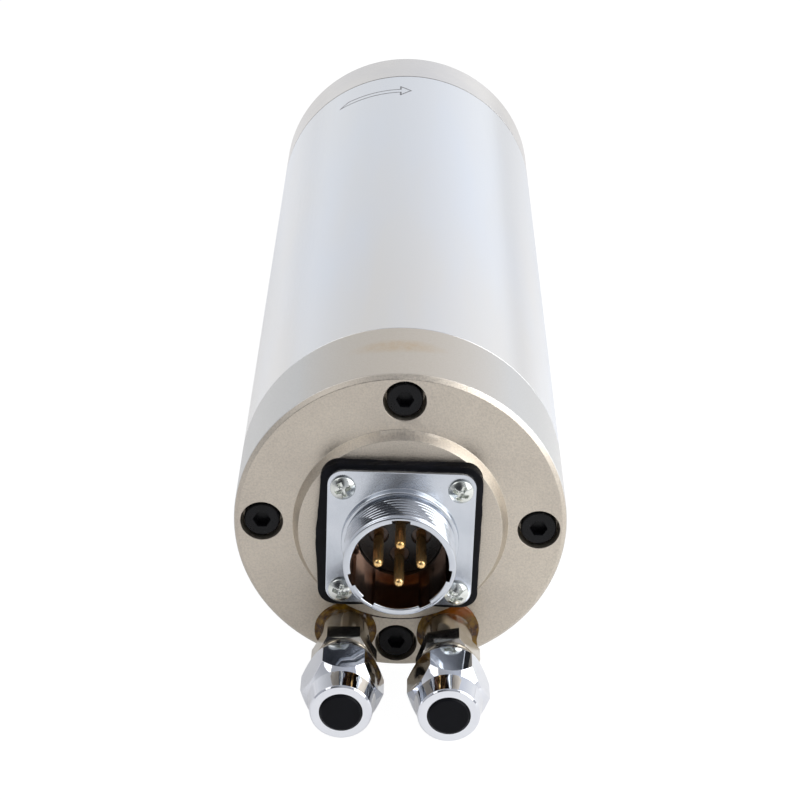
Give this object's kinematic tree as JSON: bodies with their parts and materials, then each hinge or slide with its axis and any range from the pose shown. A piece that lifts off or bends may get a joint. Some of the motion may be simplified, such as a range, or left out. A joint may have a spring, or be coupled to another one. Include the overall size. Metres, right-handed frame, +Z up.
{
  "type": "motor spindle",
  "caption": "Round water-cooled motor spindle: polished cylinder body, collet nose, rear pin connector and hose fittings.",
  "frame": {"origin": "on the spindle axis, in the middle of the length of the clamping cylinder", "axes": "+Y along the spindle axis towards the collet nose, +Z up, hose fittings below at the rear"},
  "size_m": [0.065, 0.2589, 0.065],
  "materials": {
    "polished_steel": "polished stainless, faint turning lines",
    "plated_cover": "blasted and nickel plated, matt",
    "plated_front": "nickel plated, satin",
    "black_screws": "black oxide",
    "aluminium": "machined",
    "seal_rubber": "smooth",
    "spring_steel": "tempered",
    "bearing_steel": "ground and polished",
    "cage_resin": "moulded",
    "lamination_steel": "stacked sheet, lacquered",
    "winding_copper": "enamelled wire, varnished",
    "lead_insulation": "extruded sleeve",
    "earth_insulation": "extruded sleeve",
    "tinned_brass": "tinned",
    "ground_shaft": "ground",
    "collet_steel": "ground",
    "nut_steel": "black oxide",
    "gasket_rubber": "cut sheet, matt",
    "satin_zinc": "die cast, satin plated",
    "connector_insert": "moulded",
    "gold_pins": "gold plated",
    "bright_screws": "bright zinc",
    "nickel_fitting": "nickel plated brass",
    "chrome_nut": "mirror chrome",
    "ferrule_brass": "turned",
    "black_plug": "moulded, satin",
    "amber_sealant": "cured liquid sealant"
  },
  "bodies": {
    "housing": {"outer_sleeve": "polished_steel", "cooling_jacket": "aluminium", "sleeve_o_rings": "seal_rubber", "rear_cover": "plated_cover", "rear_cover_screws": "black_screws", "rear_bearing_housing": "aluminium", "preload_spring": "spring_steel", "front_bearing_housing": "plated_front", "front_housing_screws": "black_screws", "front_bearing_cover": "plated_front", "front_cover_screws": "black_screws", "stator_core": "lamination_steel", "stator_windings": "winding_copper", "phase_leads": "lead_insulation", "earth_lead": "earth_insulation", "earth_terminal": "tinned_brass", "earth_screw": "spring_steel", "connector_gasket": "gasket_rubber", "connector_shell": "satin_zinc", "connector_insulator": "connector_insert", "connector_pins": "gold_pins", "connector_screws": "bright_screws", "inlet_fitting_body": "nickel_fitting", "outlet_fitting_body": "nickel_fitting", "thread_sealant": "amber_sealant", "rear_bearing_1_outer_ring": "bearing_steel", "rear_bearing_2_outer_ring": "bearing_steel", "front_bearing_1_outer_ring": "bearing_steel", "front_bearing_2_outer_ring": "bearing_steel"},
    "spindle": {"spindle_shaft": "ground_shaft", "rotor_core": "lamination_steel", "rotor_cage": "aluminium", "rear_lock_nut": "ground_shaft", "front_flinger": "plated_front", "rear_bearing_1_inner_ring": "bearing_steel", "rear_bearing_2_inner_ring": "bearing_steel", "front_bearing_1_inner_ring": "bearing_steel", "front_bearing_2_inner_ring": "bearing_steel"},
    "rear_bearing_1_cage": {"rear_bearing_1_cage": "cage_resin", "rear_bearing_1_balls": "bearing_steel"},
    "rear_bearing_2_cage": {"rear_bearing_2_cage": "cage_resin", "rear_bearing_2_balls": "bearing_steel"},
    "front_bearing_1_cage": {"front_bearing_1_cage": "cage_resin", "front_bearing_1_balls": "bearing_steel"},
    "front_bearing_2_cage": {"front_bearing_2_cage": "cage_resin", "front_bearing_2_balls": "bearing_steel"},
    "collet": {"collet": "collet_steel"},
    "collet_nut": {"collet_nut": "nut_steel"},
    "inlet_ferrule": {"inlet_ferrule": "ferrule_brass"},
    "inlet_nut": {"inlet_nut": "chrome_nut"},
    "inlet_plug": {"inlet_plug": "black_plug"},
    "outlet_ferrule": {"outlet_ferrule": "ferrule_brass"},
    "outlet_nut": {"outlet_nut": "chrome_nut"},
    "outlet_plug": {"outlet_plug": "black_plug"}
  },
  "joints": [
    {"name": "spindle_spin", "type": "hinge", "parent": "housing", "child": "spindle", "pos_m": [0, 0, 0], "axis": [0, 1, 0], "continuous": true},
    {"name": "rear_bearing_1_cage_spin", "type": "hinge", "parent": "housing", "child": "rear_bearing_1_cage", "pos_m": [0, 0, 0], "axis": [0, 1, 0], "continuous": true},
    {"name": "rear_bearing_2_cage_spin", "type": "hinge", "parent": "housing", "child": "rear_bearing_2_cage", "pos_m": [0, 0, 0], "axis": [0, 1, 0], "continuous": true},
    {"name": "front_bearing_1_cage_spin", "type": "hinge", "parent": "housing", "child": "front_bearing_1_cage", "pos_m": [0, 0, 0], "axis": [0, 1, 0], "continuous": true},
    {"name": "front_bearing_2_cage_spin", "type": "hinge", "parent": "housing", "child": "front_bearing_2_cage", "pos_m": [0, 0, 0], "axis": [0, 1, 0], "continuous": true},
    {"name": "collet_draw", "type": "slide", "parent": "spindle", "child": "collet", "axis": [0, 1, 0], "range_m": [0, 0.0045]},
    {"name": "collet_nut_turn", "type": "hinge", "parent": "collet", "child": "collet_nut", "pos_m": [0, 0.12, 0], "axis": [0, 1, 0], "range_deg": [0, 2160]},
    {"name": "inlet_ferrule_travel", "type": "slide", "parent": "housing", "child": "inlet_ferrule", "axis": [0, -1, 0], "range_m": [0, 0.006]},
    {"name": "inlet_nut_turn", "type": "hinge", "parent": "inlet_ferrule", "child": "inlet_nut", "pos_m": [-0.01015, -0.12, -0.024], "axis": [0, -1, 0], "range_deg": [0, 2160]},
    {"name": "inlet_plug_pull", "type": "slide", "parent": "housing", "child": "inlet_plug", "axis": [0, -1, 0], "range_m": [0, 0.018]},
    {"name": "outlet_ferrule_travel", "type": "slide", "parent": "housing", "child": "outlet_ferrule", "axis": [0, -1, 0], "range_m": [0, 0.006]},
    {"name": "outlet_nut_turn", "type": "hinge", "parent": "outlet_ferrule", "child": "outlet_nut", "pos_m": [0.01015, -0.12, -0.024], "axis": [0, -1, 0], "range_deg": [0, 2160]},
    {"name": "outlet_plug_pull", "type": "slide", "parent": "housing", "child": "outlet_plug", "axis": [0, -1, 0], "range_m": [0, 0.018]}
  ],
  "couplings": [
    {"joint": "rear_bearing_1_cage_spin", "follows": "spindle_spin", "ratio": 0.385},
    {"joint": "rear_bearing_2_cage_spin", "follows": "spindle_spin", "ratio": 0.385},
    {"joint": "front_bearing_1_cage_spin", "follows": "spindle_spin", "ratio": 0.39872},
    {"joint": "front_bearing_2_cage_spin", "follows": "spindle_spin", "ratio": 0.39872},
    {"joint": "collet_draw", "follows": "collet_nut_turn", "m_per_rad": 0.00011937},
    {"joint": "inlet_ferrule_travel", "follows": "inlet_nut_turn", "m_per_rad": 0.00015915},
    {"joint": "outlet_ferrule_travel", "follows": "outlet_nut_turn", "m_per_rad": 0.00015915}
  ]
}
